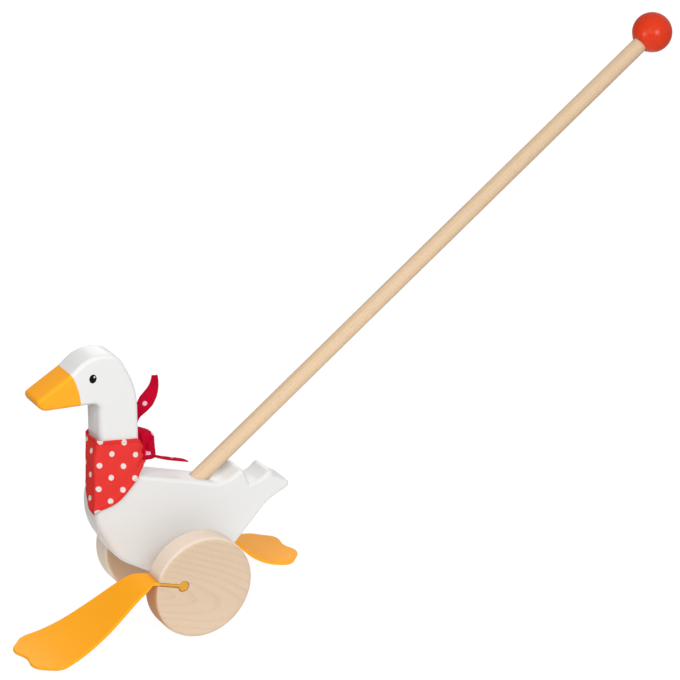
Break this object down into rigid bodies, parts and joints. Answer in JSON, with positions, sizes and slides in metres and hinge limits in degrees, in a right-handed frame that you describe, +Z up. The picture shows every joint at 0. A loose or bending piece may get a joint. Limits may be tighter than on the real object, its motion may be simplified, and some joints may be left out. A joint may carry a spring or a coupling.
{
  "type": "push-along goose toy",
  "caption": "Sawn board goose on wooden wheels with soft flipper feet that slap the floor as it rolls, pushed by a slanted dowel with a ball handle, with a dotted neckerchief.",
  "frame": {"origin": "on the floor, straight below the middle of the axle", "axes": "+X the way the goose looks and rolls, +Y to its left along the axle, +Z up"},
  "size_m": [0.5628, 0.1458, 0.3898],
  "materials": {
    "white_paint": "satin white paint on wood, orange on the beak",
    "red_paint": "glossy red paint on wood",
    "beech": "fine sanded beech, clear satin varnish",
    "orange_rubber": "smooth matt orange rubber",
    "dotted_cloth": "plain woven red cotton with white dots"
  },
  "bodies": {
    "goose": {"goose_body": "white_paint", "push_stick": "beech", "handle_ball": "red_paint", "scarf": "dotted_cloth"},
    "wheelset": {"axle": "beech", "left_spacer": "beech", "right_spacer": "beech", "left_wheel": "beech", "right_wheel": "beech", "left_foot_root": "orange_rubber", "right_foot_root": "orange_rubber"},
    "left_flipper": {"left_foot": "orange_rubber"},
    "right_flipper": {"right_foot": "orange_rubber"}
  },
  "joints": [
    {"name": "wheel_roll", "type": "hinge", "parent": "goose", "child": "wheelset", "pos_m": [0, 0, 0.0385], "axis": [0, 1, 0], "continuous": true},
    {"name": "left_foot_flex", "type": "hinge", "parent": "wheelset", "child": "left_flipper", "pos_m": [0.03789, 0.04075, 0.05118], "axis": [0, 1, 0], "range_deg": [-45, 45], "stiffness_Nm_per_rad": 0.06, "springref_deg": -5.73},
    {"name": "right_foot_flex", "type": "hinge", "parent": "wheelset", "child": "right_flipper", "pos_m": [-0.0356, -0.04075, 0.05664], "axis": [0, -1, 0], "range_deg": [-45, 45], "stiffness_Nm_per_rad": 0.06, "springref_deg": -5.73}
  ]
}
